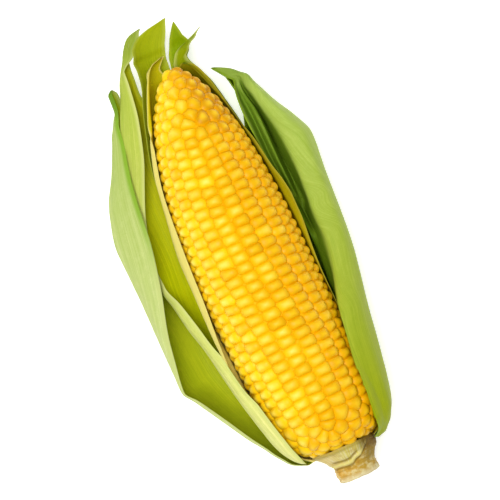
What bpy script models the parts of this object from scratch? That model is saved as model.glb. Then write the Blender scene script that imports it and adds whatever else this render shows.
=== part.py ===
"""An ear of sweet corn lying on its back, its husk opened at the front.

Run with: blender --background --python part.py

Units are metres and +Z is up. The origin is on the surface that the ear lies on, under the middle of its
bounding box. The ear points along +Y, from the cut stem to the tip. Lengths below are written in millimetres.

Everything is laid out in the ear's own frame: x to the right, y towards the tip, and z up, all from a point on
the ear's centreline. The husk leaves are wrapped round the ear in layers, like sheets round a roll. Each leaf is
a sheet through cross-sections that stand across the ear. A cross-section follows the leaf's layer round the ear
for an arc, and then goes on through free points where the leaf has been peeled away.
"""

import math

import bmesh
import bpy
import numpy as np
from mathutils import Vector

MM = 0.001

# The ear
EAR_RADIUS = 25.0
EAR_WIDEST_Y = -22.0
EAR_TIP_LENGTH = 105.8
EAR_BUTT_LENGTH = 69.0
TIP_SHAPE = (2.6, 0.6)
BUTT_SHAPE = (6.0, 0.3)
KERNEL_ROWS = 20
KERNELS_IN_A_ROW = 40
ROW_GROOVE = 1.7
KERNEL_GROOVE = 1.1
POINTS_ACROSS_KERNEL = 3

# The centreline bows gently, and is straight along +Y at BOW_Y.
BOW_Y = 13.0
BOW = 4.56e-4

# How the ear lies in the part's frame
AXIS_X = 2.0
AXIS_HEIGHT = 30.0

# The husk
LEAF_THICKNESS = 0.5
FIRST_LAYER = 0.7
LAYER_PITCH = 1.0
WRAP_TIP_LENGTH = 118.0
WRAP_BUTT_LENGTH = 71.0
STEM_RADIUS = 11.2
TUCK_ANGLES = (112.0, 138.0)
ARC_POINTS = 5

# The outer leaves bear on the surface, and are pressed this much thinner there.
PRESSED_LEAVES = ("husk_left_outer", "husk_right_outer")
PRESSED_FLAT = 0.15
SURFACE_SIZE = (200.0, 300.0, 20.0)

# The leaves' cross-sections stand at the same places along the ear, so that they nest.
STATIONS = (
    -93.0, -91.2, -89.0, -86.0, -82.0, -76.0, -67.0, -56.0, -44.0, -31.0, -17.0,
    -3.0, 11.0, 25.0, 38.0, 50.0, 60.0, 68.0, 75.0, 81.0, 86.0, 90.0, 94.0, 98.0,
)

# The cut stem: radius and y down its outer side
STEM_PROFILE = (
    (0.0, -91.5), (11.3, -91.5), (13.9, -89.9), (15.0, -89.9), (14.0, -91.2), (11.9, -92.3),
    (11.1, -93.8), (10.4, -95.9), (9.1, -97.2), (9.3, -98.4), (8.8, -99.6), (8.9, -102.0),
    (9.3, -103.4), (8.7, -104.2), (0.0, -104.2),
)
STEM_STEPS = 28

# Each leaf: its layer (0 lies on the kernels), how many points its cross-sections have, its colour, and its
# cross-sections from the stem to the tip. A cross-section is y, the angles from and to which it follows its
# layer, its lift off the layer, and its free points as x, z. Angles are in degrees from straight down, and are
# positive to the right.
HUSK = {
    "husk_left_outer": (3, 13, (0.50, 0.62, 0.20), (
        (-94.5, 15, -60, 0, (-8, -5), (-9, -1), (-8.6, 2)),
        (-87, 15, -50, 0, (-14.6, -12.4), (-19, -2), (-18.4, 3)),
        (-72.5, 15, -35, 0, (-20, -19), (-29.3, -4), (-27.6, 0)),
        (-42.5, 15, -25, 0, (-33, -28), (-47.9, -12), (-47, -8)),
        (-20, 15, -25, 0, (-34.5, -30.1), (-48.1, -17), (-44.1, -10)),
        (0, 14, -25, 0, (-35.5, -30.1), (-48.5, -18), (-39.1, -8)),
        (21, 10, -27, 0, (-35.5, -30.1), (-48.9, -18), (-34.5, -7.5)),
        (42, 2, -30, 0, (-32, -27), (-43.7, -17), (-32.8, -9)),
        (64, -18, -36, 0, (-26, -22), (-33.2, -15), (-27.8, -10)),
        (77, -44, -50, 8.5, (-24, -16), (-27, -13), (-25, -11)),
        (85.2, -55, -57, 12, (-22.8, -14.2), (-23.5, -13.4), (-23.9, -12.6)),
    )),
    "husk_left_second": (2, 12, (0.60, 0.70, 0.26), (
        (-94, -20, -60, 0, (-9, -3), (-9, 4), (-4, 9.5)),
        (-83, -20, -55, 0, (-14.6, -12.6), (-18.9, 1), (-14.3, 12)),
        (-62, -20, -45, 0, (-20.5, -15.5), (-25.8, 1), (-19.1, 16)),
        (-41, -20, -40, 0, (-26, -16), (-30.1, -2), (-25.1, 6)),
        (-20, -20, -36, 0, (-27, -20), (-34.9, -8), (-30.8, -3)),
        (0, -20, -35, 0, (-29, -21), (-38.7, -13), (-36.9, -11)),
        (13, -20, -35, 0, (-29, -21.5), (-38.4, -15), (-37.4, -13.5)),
        (42, -25, -40, 0, (-25, -19.5), (-32.4, -13.5), (-27.9, -10.5)),
        (63, -34, -46, 0, (-20, -17), (-27.2, -12.5), (-20.6, -6)),
        (84, -48, -52, 6, (-17, -14), (-19.9, -12), (-15.6, -7)),
        (97, -38, -42, 14, (-12.4, -14), (-13.6, -13), (-12.6, -10)),
        (104.2, -18, -20, 13, (-1.4, -14.6), (-1.6, -14), (-1.2, -13.2)),
    )),
    "husk_left_inner": (0, 11, (0.72, 0.66, 0.22), (
        (-92.5, 2, -92, 0, (-6, 1), (-6, 2)),
        (-83, 2, -92, 0, (-17.9, 1.4), (-17.8, 2.4)),
        (-62, 2, -92, 0, (-22.9, 1.4), (-22.8, 2.6)),
        (-42, 2, -95, 0, (-24.5, 3.6), (-25, 4)),
        (-10, 2, -96, 0, (-25.8, 4.4), (-27, 3.6)),
        (21, 2, -96, 0, (-24.9, 4.2), (-26, 3.4)),
        (42, 2, -96, 0, (-22.4, 3.8), (-23.2, 3)),
        (63, 0, -94, 0, (-17.8, 3.2), (-18.4, 2.4)),
        (79.6, -8, -88, 0, (-11.2, 1.2), (-11.4, 2)),
        (86, -22, -61, 0, (-6.8, -3.5), (-6, -2.2)),
        (89.4, 0, -14, 0, (-0.2, -7.2), (0.6, -5.8)),
    )),
    "husk_back_left": (1, 8, (0.34, 0.42, 0.05), (
        (-93, -75, 5, 0),
        (40, -75, 4, 0),
        (70, -72, 0, 0),
        (84, -68, 0, 2),
        (91, -68, -1, 5.3),
        (96, -50, 5, 12.2),
        (100, -34, 16, 12.3),
        (103.3, 20, 24, 12.3),
    )),
    "husk_back_middle": (2, 7, (0.30, 0.40, 0.06), (
        (-93.5, -15, 45, 0),
        (0, -14, 45, 0),
        (40, -9, 46, 0),
        (70, 4, 50, 0),
        (84, 9, 54, 0),
        (88, 9, 46, 1),
        (91, 10, 39, 4.5),
        (96, 19, 36, 8.8),
        (100.8, 38, 41, 10.3),
    )),
    "husk_back_right": (1, 7, (0.36, 0.44, 0.07), (
        (-93, 15, 62, 0),
        (40, 15, 62, 0),
        (70, 10, 58, 0),
        (84, 8, 44, 0),
        (88, 16, 62, 0),
        (90, 26, 60, 2.8),
        (91.8, 46, 66, 6.3),
        (95, 68, 71, 13.2),
    )),
    "husk_right_inner": (0, 10, (0.16, 0.24, 0.02), (
        (-92.5, 8, 95, 0, (17, 3)),
        (-62, 8, 94, 0, (28, 5)),
        (-20, 8, 92, 0, (26.8, 3)),
        (2, 8, 88, 0, (27.6, 2)),
        (14, 8, 86, 0, (27.5, 1.4)),
        (30, 8, 82, 0, (24.6, -0.6)),
        (53, 8, 62, 0, (19, -8)),
        (74, 10, 60, 0, (14.8, -7)),
        (85.5, 40, 46, 0, (10.6, -6)),
    )),
    "husk_right_outer": (4, 13, (0.38, 0.50, 0.10), (
        (-95, -20, 60, 0, (16, -3), (16, 4), (14, 9)),
        (-87, -20, 60, 0, (22, -12), (26.3, 0), (18, 14)),
        (-62, -18, 50, 0, (26, -14), (33.4, 1), (21.9, 16)),
        (-41, -14, 40, 0, (28, -18), (36.5, -3), (25.4, 12)),
        (-20, -6, 32, 0, (31, -29), (40.1, -8), (30.4, 2)),
        (0, 4, 30, 0, (32, -31.5), (42.8, -13), (33.5, -3)),
        (20, 14, 32, 0, (32, -31.5), (44.4, -14), (33.4, -4)),
        (35, 26, 36, 0, (31, -30.4), (45.4, -15), (33.1, -5)),
        (50, 52, 53, 1.2, (27.5, -25), (40.5, -15), (32.4, -7)),
        (62, 62, 60, 2.6, (27, -20), (33.6, -14), (27.8, -8)),
        (70, 62, 60, 2.4, (26.6, -16), (29.6, -12.5), (27.6, -9.5)),
        (77.1, 46, 48, 0.3, (17, -13.1), (17.5, -12.6), (18.2, -11.8)),
    )),
}


def bow(y):
    """How far right of the ear's own y axis the centreline is."""
    return BOW * (y - BOW_Y) ** 2


def barrel(y, tip_length, butt_length):
    """Radius of the ear's barrel shape, with its ends at those distances from the widest place."""
    length, (power, root) = (tip_length, TIP_SHAPE) if y > EAR_WIDEST_Y else (butt_length, BUTT_SHAPE)
    share = min(abs(y - EAR_WIDEST_Y) / length, 1.0)
    return EAR_RADIUS * (1.0 - share ** power) ** root


def wrap_radius(y):
    """Radius of the roll that the husk is wrapped round: the ear, and then the stem."""
    radius = barrel(y, WRAP_TIP_LENGTH, WRAP_BUTT_LENGTH)
    return max(radius, STEM_RADIUS) if y < EAR_WIDEST_Y else radius


def layer_radius(y, layer, angle=0.0):
    """Radius of a layer's middle, as far outside the roll along the ear as across it.

    Past the inner leaves' margins the outer layers close up on the kernels.
    """
    low, high = TUCK_ANGLES
    share = min(max((abs(angle) - low) / (high - low), 0.0), 1.0)
    tuck = share * share * (3 - 2 * share)
    outside = FIRST_LAYER + layer * LAYER_PITCH * (1 - tuck)
    reach = max(abs(y - EAR_WIDEST_Y) - outside, 0.0)
    return wrap_radius(EAR_WIDEST_Y + math.copysign(reach, y - EAR_WIDEST_Y)) + outside


def on_roll(y, angle, radius):
    """The x, z at that angle and radius round the centreline."""
    a = math.radians(angle)
    return np.array((bow(y) + radius * math.sin(a), -radius * math.cos(a)))


def hermite(places, values, place):
    """Smooth interpolation of rows of values given at increasing places."""
    slopes = np.gradient(values, places, axis=0)
    i = min(max(int(np.searchsorted(places, place)) - 1, 0), len(places) - 2)
    step = places[i + 1] - places[i]
    t = (place - places[i]) / step
    return (
        (2 * t ** 3 - 3 * t ** 2 + 1) * values[i]
        + (t ** 3 - 2 * t ** 2 + t) * step * slopes[i]
        + (3 * t ** 2 - 2 * t ** 3) * values[i + 1]
        + (t ** 3 - t ** 2) * step * slopes[i + 1]
    )


def even_points(points, count):
    """That many points, evenly spaced along a smooth curve through the given ones."""
    points = np.array(points)
    lengths = np.concatenate(([0.0], np.cumsum(np.linalg.norm(np.diff(points, axis=0), axis=1))))
    fine = np.array([hermite(lengths, points, s) for s in np.linspace(0, lengths[-1], 8 * count)])
    run = np.concatenate(([0.0], np.cumsum(np.linalg.norm(np.diff(fine, axis=0), axis=1))))
    wanted = np.linspace(0, run[-1], count)
    return np.stack([np.interp(wanted, run, fine[:, k]) for k in range(2)], axis=1)


def kept_out(y, layer, point):
    """The point, pushed out to its layer and up to the surface that the ear lies on."""
    x, z = point[0] - bow(y), point[1]
    angle = math.degrees(math.atan2(x, -z))
    radius = max(math.hypot(x, z), layer_radius(y, layer, angle))
    placed = on_roll(y, angle, radius)
    placed[1] = max(placed[1], LEAF_THICKNESS / 2 - PRESSED_FLAT - AXIS_HEIGHT)
    return placed


def leaf_section(layer, places, values, y, columns):
    """The x, z points of a leaf's cross-section."""
    row = hermite(places, values, y)
    start, end, lift = row[:3]
    radius = layer_radius(y, layer) + max(lift, 0.0)
    arc = [on_roll(y, angle, radius) for angle in np.linspace(start, end, ARC_POINTS)]
    free = list(row[3:].reshape(-1, 2))
    return [kept_out(y, layer, point) for point in even_points(arc + free, columns)]


def material(name, colour, roughness):
    made = bpy.data.materials.new(name)
    made.use_nodes = True
    shader = made.node_tree.nodes["Principled BSDF"]
    shader.inputs["Base Color"].default_value = (*colour, 1.0)
    shader.inputs["Roughness"].default_value = roughness
    shader.inputs["Metallic"].default_value = 0.0
    return made


def husk_leaf(name, layer, columns, colour, keys):
    """A grid laid through the leaf's cross-sections and thickened to both sides."""
    places = np.array([key[0] for key in keys], float)
    values = np.array([[*key[1:4], *(c for point in key[4:] for c in point)] for key in keys], float)
    inside = [y for y in STATIONS if places[0] + 1.5 < y < places[-1] - 1.5]
    stations = [places[0], *inside, places[-1]]
    sections = [leaf_section(layer, places, values, y, columns) for y in stations]
    last_column, last_row = columns - 1, len(stations) - 1
    bpy.ops.mesh.primitive_grid_add(x_subdivisions=last_column, y_subdivisions=last_row, size=1)
    leaf = bpy.context.object
    leaf.name = leaf.data.name = name
    for vertex in leaf.data.vertices:
        column = round((vertex.co.x + 0.5) * last_column)
        row = round((vertex.co.y + 0.5) * last_row)
        x, z = sections[row][column]
        vertex.co = Vector((x, stations[row], z)) * MM
    leaf.data.materials.append(material(name, colour, 0.5))
    leaf.data.shade_smooth()
    solidify = leaf.modifiers.new("Thickness", "SOLIDIFY")
    solidify.thickness = LEAF_THICKNESS * MM
    solidify.offset = 0
    solidify.use_even_offset = True
    return leaf


def kernel_depth(ring, segment):
    """How far below the kernels' crowns a point of the ear's grid lies. Neighbouring rows are half a kernel apart."""
    row, across = divmod(segment, POINTS_ACROSS_KERNEL)
    if across == 0:
        return ROW_GROOVE
    return 0.0 if (ring + row) % 2 else KERNEL_GROOVE


def press_flat(leaf, surface):
    """Flatten the leaf where it bears on the surface."""
    press = leaf.modifiers.new("Pressed flat", "BOOLEAN")
    press.operation = "DIFFERENCE"
    press.object = surface


def resting_surface():
    """A block whose top is the surface that the ear lies on."""
    bpy.ops.mesh.primitive_cube_add(size=1)
    surface = bpy.context.object
    surface.name = surface.data.name = "resting_surface"
    for vertex in surface.data.vertices:
        vertex.co = vertex.co * Vector(SURFACE_SIZE) * MM
    surface.location.z = -SURFACE_SIZE[2] / 2 * MM
    surface.hide_render = True
    surface.display_type = "WIRE"
    return surface


def corn_ear():
    """The cob with its kernels on it: a globe grid drawn out to the ear's barrel, with a crown for each kernel."""
    rings, segments = 2 * KERNELS_IN_A_ROW, POINTS_ACROSS_KERNEL * KERNEL_ROWS
    tip_y = EAR_WIDEST_Y + EAR_TIP_LENGTH
    butt_y = EAR_WIDEST_Y - EAR_BUTT_LENGTH
    mesh = bpy.data.meshes.new("ear")
    shape = bmesh.new()
    bmesh.ops.create_uvsphere(shape, u_segments=segments, v_segments=rings, radius=1)
    for vertex in shape.verts:
        along = math.acos(max(-1.0, min(1.0, vertex.co.z))) / math.pi
        turn = math.atan2(vertex.co.y, vertex.co.x) / (2 * math.pi)
        y = tip_y + (butt_y - tip_y) * along
        radius = barrel(y, EAR_TIP_LENGTH, EAR_BUTT_LENGTH)
        depth = kernel_depth(round(along * rings), round(turn * segments) % segments)
        radius = max(radius - depth, 0.7 * radius)
        x, z = on_roll(y, -360 * turn, radius)
        vertex.co = Vector((x, y, z)) * MM
    shape.to_mesh(mesh)
    shape.free()
    mesh.materials.append(material("ear", (0.90, 0.55, 0.03), 0.3))
    mesh.shade_smooth()
    ear = bpy.data.objects.new("ear", mesh)
    return ear


def cut_stem():
    """The stub of stem that the ear and its leaves grew from: a turned profile on the ear's centreline."""
    bottom_y = STEM_PROFILE[-1][1]
    mesh = bpy.data.meshes.new("stem")
    points = [(radius * MM, 0.0, (y - bottom_y) * MM) for radius, y in STEM_PROFILE]
    mesh.from_pydata(points, [(i, i + 1) for i in range(len(points) - 1)], [])
    mesh.materials.append(material("stem", (0.72, 0.62, 0.36), 0.7))
    stem = bpy.data.objects.new("stem", mesh)
    stem.location = Vector((bow(STEM_PROFILE[1][1]), bottom_y, 0)) * MM
    stem.rotation_euler.x = -math.pi / 2
    screw = stem.modifiers.new("Turn", "SCREW")
    screw.steps = screw.render_steps = STEM_STEPS
    screw.use_merge_vertices = True
    screw.merge_threshold = 1e-5
    screw.use_smooth_shade = True
    return stem


def main():
    for found in list(bpy.data.objects):
        bpy.data.objects.remove(found)
    parts = bpy.data.collections.new("corn_cob")
    cutters = bpy.data.collections.new("cutters")
    for collection in (parts, cutters):
        bpy.context.scene.collection.children.link(collection)
    centre = bpy.data.objects.new("ear_centre", None)
    centre.location = Vector((AXIS_X, 0, AXIS_HEIGHT)) * MM
    parts.objects.link(centre)

    surface = resting_surface()
    leaves = {name: husk_leaf(name, *leaf) for name, leaf in HUSK.items()}
    for name in PRESSED_LEAVES:
        press_flat(leaves[name], surface)
    pieces = [corn_ear(), cut_stem(), *leaves.values()]
    for piece in [surface, *pieces]:
        for holder in list(piece.users_collection):
            holder.objects.unlink(piece)
    cutters.objects.link(surface)
    for piece in pieces:
        parts.objects.link(piece)
        piece.parent = centre


main()
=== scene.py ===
import math

import bpy
import numpy as np
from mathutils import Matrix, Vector, noise


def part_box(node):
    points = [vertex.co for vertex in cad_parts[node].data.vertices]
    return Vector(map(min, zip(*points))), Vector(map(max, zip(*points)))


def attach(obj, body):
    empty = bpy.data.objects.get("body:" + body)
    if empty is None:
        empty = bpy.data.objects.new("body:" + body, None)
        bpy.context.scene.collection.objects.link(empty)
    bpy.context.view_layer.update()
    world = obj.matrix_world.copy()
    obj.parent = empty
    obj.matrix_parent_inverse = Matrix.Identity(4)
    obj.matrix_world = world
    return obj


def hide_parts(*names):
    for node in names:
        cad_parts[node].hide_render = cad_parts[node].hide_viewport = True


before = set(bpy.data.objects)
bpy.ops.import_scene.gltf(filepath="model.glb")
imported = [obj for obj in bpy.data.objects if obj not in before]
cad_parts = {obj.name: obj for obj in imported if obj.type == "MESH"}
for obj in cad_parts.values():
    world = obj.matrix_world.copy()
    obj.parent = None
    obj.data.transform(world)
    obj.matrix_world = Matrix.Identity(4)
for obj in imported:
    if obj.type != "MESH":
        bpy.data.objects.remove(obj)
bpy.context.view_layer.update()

MM = 0.001
EXPOSED = 1 / 1.25  # takes off what the studio light adds to an upward face

# ---- the ear's frame
# In millimetres and degrees: x to the right, y towards the tip, z up. Angles round the ear are 0 straight
# down and plus to the right.
EAR_RADIUS = 25.0
EAR_WIDEST_Y = -22.0
EAR_TIP_LENGTH = 105.8  # from the widest place
EAR_BUTT_LENGTH = 69.0
TIP_SHAPE = (2.6, 0.6)  # the barrel's power and root
BUTT_SHAPE = (6.0, 0.3)
BOW_Y = 13.0  # where the centreline is furthest left
BOW = 4.56e-4
KERNEL_ROWS = 20
ROW_SPACING = 360 / KERNEL_ROWS
KERNEL_PITCH = 4.33  # along a row
ROWS_FROM, ROWS_TO = -74.0, 55.0  # the rows are straight between these
ROW_STARTS = (-21.3, -19.2, -18.0, -18.3, -21.5, -21.4, -19.2, -20.0)  # y of a kernel in the rows on top
# The husk wraps a longer barrel, in layers counted outwards. Layer 0 hugs the kernels.
WRAP_TIP_LENGTH = 118.0
WRAP_BUTT_LENGTH = 69.8
WRAP_TIP_RADIUS = 6.5
HUG_TIP_LENGTH = 108.0
HUG_GAP = 0.5
FIRST_LAYER = 0.7
LAYER_PITCH = 1.0
TIP_STAGGER, STEM_STAGGER = 1.0, 0.35  # how far the layers end beyond one another
TUCK = (112.0, 138.0, 0.0)  # between these angles a leaf moves inwards, to this layer
STEM_RADIUS = 11.2
STEM_Y = -91.5
LEAVES_FROM_Y = -92.0
LEAF_THICKNESS = 0.4

stem_low, stem_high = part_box("stem")
ear_low, ear_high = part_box("ear")
AXIS = Vector((
    (stem_low.x + stem_high.x) / 2 / MM - BOW * (STEM_Y - BOW_Y) ** 2,
    0.0,
    (ear_low.z + ear_high.z) / 2 / MM,
))


def soft_step(value, low, high):
    """0 below low, 1 above high, and a smooth rise between them."""
    t = np.clip((value - low) / (high - low), 0.0, 1.0)
    return t * t * (3 - 2 * t)


def bow(y):
    """How far right of the ear's own y axis the centreline is."""
    return BOW * (np.asarray(y) - BOW_Y) ** 2


def barrel(y, tip_length=EAR_TIP_LENGTH, butt_length=EAR_BUTT_LENGTH):
    """Radius of the ear's barrel shape."""
    y = np.asarray(y, float)
    tip = y > EAR_WIDEST_Y
    share = np.abs(y - EAR_WIDEST_Y) / np.where(tip, tip_length, butt_length)
    share = np.clip(share, 0.0, 1.0)
    power = np.where(tip, TIP_SHAPE[0], BUTT_SHAPE[0])
    root = np.where(tip, TIP_SHAPE[1], BUTT_SHAPE[1])
    return EAR_RADIUS * (1.0 - share ** power) ** root


def wrap_radius(y, tip_length=WRAP_TIP_LENGTH):
    """Radius of the barrel that the husk wraps, open at both ends."""
    radius = barrel(y, tip_length, WRAP_BUTT_LENGTH)
    return np.maximum(radius, np.where(np.asarray(y) < EAR_WIDEST_Y, STEM_RADIUS, WRAP_TIP_RADIUS))


def layer_radius(y, layer, angle=0.0, tuck=TUCK):
    """Inside radius left for a leaf of this layer; past its tuck angles a leaf lies closer to the ear."""
    if layer == 0:
        return wrap_radius(y, HUG_TIP_LENGTH) + HUG_GAP
    low, high, tucked_layer = tuck
    share = soft_step(np.abs(angle), low, high)
    outside = FIRST_LAYER + (layer * (1 - share) + tucked_layer * share) * LAYER_PITCH
    stagger = np.where(y > EAR_WIDEST_Y, TIP_STAGGER, STEM_STAGGER)
    reach = np.maximum(np.abs(y - EAR_WIDEST_Y) - outside * stagger, 0.0)
    return wrap_radius(EAR_WIDEST_Y + np.copysign(reach, y - EAR_WIDEST_Y)) + outside


def on_roll(y, angle, radius):
    """x and z at an angle and a radius round the centreline."""
    a = np.radians(angle)
    return np.stack([bow(y) + radius * np.sin(a), -radius * np.cos(a)], axis=-1)


def to_world(points):
    return (np.asarray(points) + np.array(AXIS)) * MM


def hermite(places, values, wanted):
    """Smooth interpolation, at the wanted places, of rows of values given at increasing places."""
    places, values = np.asarray(places, float), np.asarray(values, float)
    gaps = np.diff(places)[:, None]
    rates = np.diff(values, axis=0) / gaps
    before, after = rates[:-1], rates[1:]
    same = before * after > 0
    mean = np.where(same, 2 * before * after / np.where(same, before + after, 1.0), 0.0)
    slopes = np.concatenate((rates[:1], mean, rates[-1:]))
    i = np.clip(np.searchsorted(places, wanted) - 1, 0, len(places) - 2)
    step = places[i + 1] - places[i]
    t = ((wanted - places[i]) / step)[:, None]
    step = step[:, None]
    return (
        (2 * t ** 3 - 3 * t ** 2 + 1) * values[i]
        + (t ** 3 - 2 * t ** 2 + t) * step * slopes[i]
        + (3 * t ** 2 - 2 * t ** 3) * values[i + 1]
        + (t ** 3 - t ** 2) * step * slopes[i + 1]
    )


def path_lengths(points, extra=0.0):
    """Distances along a path to its points, with a little extra for each step."""
    steps = np.linalg.norm(np.diff(points, axis=0), axis=1)
    return np.concatenate(([0.0], np.cumsum(steps + extra)))


def even_points(points, count):
    """That many points, evenly spaced along a smooth curve through the given ones."""
    fineness = 6
    lengths = path_lengths(points, 1e-6)
    fine = hermite(lengths, points, np.linspace(0, lengths[-1], fineness * count))
    run = path_lengths(fine)
    wanted = np.linspace(0, run[-1], count)
    return np.stack([np.interp(wanted, run, fine[:, k]) for k in range(2)], axis=1)


# ---- mesh helpers
def make_object(name, points, faces, materials, indices=None, smooth=True):
    mesh = bpy.data.meshes.new(name)
    mesh.from_pydata([tuple(p) for p in points], [], faces)
    for material in materials:
        mesh.materials.append(material)
    if indices is not None:
        mesh.polygons.foreach_set("material_index", np.asarray(indices, np.int32))
    if smooth:
        mesh.shade_smooth()
    mesh.update()
    made = bpy.data.objects.new(name, mesh)
    bpy.context.scene.collection.objects.link(made)
    return made


def set_attribute(obj, name, values):
    """Puts a number or a vector on each point, for the materials to read."""
    values = np.asarray(values, np.float32)
    kind, key = ("FLOAT", "value") if values.ndim == 1 else ("FLOAT_VECTOR", "vector")
    obj.data.attributes.new(name, kind, "POINT").data.foreach_set(key, values.ravel())


def grid_faces(rows, columns, offset=0, wrap=False, flip=False):
    """Quads over a grid of points, closed into a tube with wrap and turned over with flip."""
    faces = []
    span = columns if wrap else columns - 1
    for i in range(rows - 1):
        for j in range(span):
            a = offset + i * columns + j
            b = offset + i * columns + (j + 1) % columns
            quad = (a, b, b + columns, a + columns)
            faces.append(quad[::-1] if flip else quad)
    return faces


def finish_piece(obj, slot, *nodes):
    """Puts the piece on the root body and hides the nodes it stands for; the slot is not used."""
    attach(obj, "root")
    if nodes:
        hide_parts(*nodes)


# ---- node helpers
class Nodes:
    """A new material's or world's node tree, with short calls for the nodes used here."""

    def __init__(self, name, kind="materials"):
        self.owner = getattr(bpy.data, kind).new(name)
        self.owner.use_nodes = True
        self.tree = self.owner.node_tree

    def put(self, socket, value):
        if isinstance(value, bpy.types.NodeSocket):
            self.tree.links.new(value, socket)
        elif isinstance(value, (tuple, list)) and socket.type == "RGBA":
            socket.default_value = (*value, 1.0)[:4]
        else:
            socket.default_value = value

    def add(self, kind, *values, **settings):
        """A new node with these settings, and with values for its first inputs."""
        node = self.tree.nodes.new("ShaderNode" + kind)
        for name, value in settings.items():
            setattr(node, name, value)
        for socket, value in zip(node.inputs, values):
            self.put(socket, value)
        return node

    def attribute(self, name, output="Fac"):
        return self.add("Attribute", attribute_name=name).outputs[output]

    def object_place(self):
        return self.add("TexCoord").outputs["Object"]

    def vector(self, x, y, z):
        return self.add("CombineXYZ", x, y, z).outputs[0]

    def parts(self, vector):
        return self.add("SeparateXYZ", vector).outputs

    def math(self, operation, a, b):
        return self.add("Math", a, b, operation=operation).outputs[0]

    def remap(self, value, low, high, to_low=0.0, to_high=1.0, way="SMOOTHSTEP"):
        return self.add("MapRange", value, low, high, to_low, to_high, interpolation_type=way).outputs[0]

    def noise(self, vector, scale, detail=2.0, roughness=0.5):
        node = self.add("TexNoise")
        self.fill(node, Vector=vector, Scale=scale, Detail=detail, Roughness=roughness)
        return node.outputs["Fac"]

    def bump(self, height, distance, strength):
        node = self.add("Bump")
        self.fill(node, Height=height, Distance=distance, Strength=strength)
        return node.outputs[0]

    def mix(self, factor, a, b, blend="MIX"):
        node = self.add("Mix", factor, data_type="RGBA", blend_type=blend)
        self.put(node.inputs[6], a)
        self.put(node.inputs[7], b)
        return node.outputs[2]

    def layered(self, base, *layers):
        """Colours over the base, each by a value, its two ends, and the colour's strengths at those."""
        for value, ends, strengths, colour in layers:
            base = self.mix(self.remap(value, *ends, *strengths), base, colour)
        return base

    def tinted(self, base, *layers):
        """The same with colours that multiply the base."""
        for value, ends, strengths, colour in layers:
            factor = self.remap(value, *ends, *strengths)
            base = self.mix(factor, base, self.mix(1.0, base, colour, "MULTIPLY"))
        return base

    def fill(self, node, **inputs):
        for name, value in inputs.items():
            self.put(node.inputs[name.replace("_", " ")], value)

    def done(self, **inputs):
        self.fill(self.tree.nodes["Principled BSDF"], **inputs)
        return self.owner


def srgb(r, g, b):
    """A colour given as 0 to 255 sRGB, in linear values."""
    return tuple((c / 255 / 12.92) if c <= 10 else ((c / 255 + 0.055) / 1.055) ** 2.4 for c in (r, g, b))


def lit(r, g, b):
    """The colour that looks like this one under the studio light."""
    return tuple(c * EXPOSED for c in srgb(r, g, b))


# ---- the ear: kernels and cob
KERNELS_END_Y = -90.2
SPREAD_SAMPLES = 60000
SPREAD_ROUNDS = 30
SPREAD_NEAR = 40  # kernels in rows further off than this don't matter
TIP_CROWD = (30.0, 1.2)  # a kernel's area in square millimetres, and how much wider it is than long
BUTT_CROWD = (28.0, 1.55)
NEIGHBOUR_REACH = 15.0
OUTLINE_POWER = 6  # higher gives a kernel's outline sharper corners
LARGEST_REACH = 5.2
KERNEL_OVERLAP = 1.16  # the domes run into one another by this much
KERNEL_SPOKES = 20
KERNEL_RINGS = (0.0, 0.26, 0.48, 0.66, 0.80, 0.905, 0.97, 1.0)  # shares of the way out from a kernel's top
COB_INSET = 1.75


def profile_table(count=6000):
    """The barrel's outline from the tip to the butt, by arc length."""
    turn = np.linspace(0, math.pi, count)
    tip_y, butt_y = EAR_WIDEST_Y + EAR_TIP_LENGTH, EAR_WIDEST_Y - EAR_BUTT_LENGTH
    y = (tip_y + butt_y) / 2 + (tip_y - butt_y) / 2 * np.cos(turn)
    y = np.concatenate((y[:1], y, y[-1:]))
    r = barrel(y)
    r[0] = r[-1] = 0.0
    s = np.concatenate(([0.0], np.cumsum(np.hypot(np.diff(y), np.diff(r)))))
    return s, y, r


PROFILE = profile_table()


def surface_at(s, angle):
    """Ear-frame points of the barrel, its outward normals, its tangents across and along, and its radius."""
    s_table, y_table, r_table = PROFILE
    y = np.interp(s, s_table, y_table)
    r = np.interp(s, s_table, r_table)
    step = 0.8
    dy, dr = (np.interp(s - step, s_table, t) - np.interp(s + step, s_table, t) for t in (y_table, r_table))
    length = np.hypot(dy, dr) + 1e-9
    dy, dr = dy / length, dr / length
    out = outward(angle)
    forward = np.array((0.0, 1.0, 0.0))
    points = out * r[:, None] + forward * y[:, None]
    points[:, 0] += bow(y)
    normals = out * dy[:, None] - forward * dr[:, None]
    along = out * dr[:, None] + forward * dy[:, None]
    across = np.cross(along, normals)
    return points, normals, across, along, r


def outward(angle):
    """Directions square to the ear's axis."""
    a = np.radians(angle)
    return np.stack([np.sin(a), np.zeros_like(a), -np.cos(a)], axis=-1)


def row_lean(y):
    """Degrees the rows lean to the right of straight, towards the butt."""
    return 4.75 * (1 - np.tanh((y + 22) / 20))


def row_centres(rng):
    """Arc length and angle of the kernels in straight rows, which cover all but the two ends."""
    s_table, y_table, _ = PROFILE
    places = []
    for row in range(KERNEL_ROWS):
        start = ROW_STARTS[row] if row < len(ROW_STARTS) else rng.uniform(-22, -18)
        sway, swing = rng.uniform(0.2, 0.9), rng.uniform(0, 6.28)
        low, high = ROWS_FROM + rng.uniform(-2, 2), ROWS_TO + rng.uniform(-3, 3)
        for way in (1, -1):
            y = start if way == 1 else start - KERNEL_PITCH
            while low < y < high:
                lean = row_lean(y) + sway * math.sin(y / 14.0 + swing) + rng.normal() * 0.45
                angle = 180 - (ROW_SPACING * (row - 4) + ROW_SPACING / 2 + lean)
                places.append((np.interp(-y, -y_table, s_table), angle))
                y += way * KERNEL_PITCH * rng.uniform(0.93, 1.07)
    return np.array(places)


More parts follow.
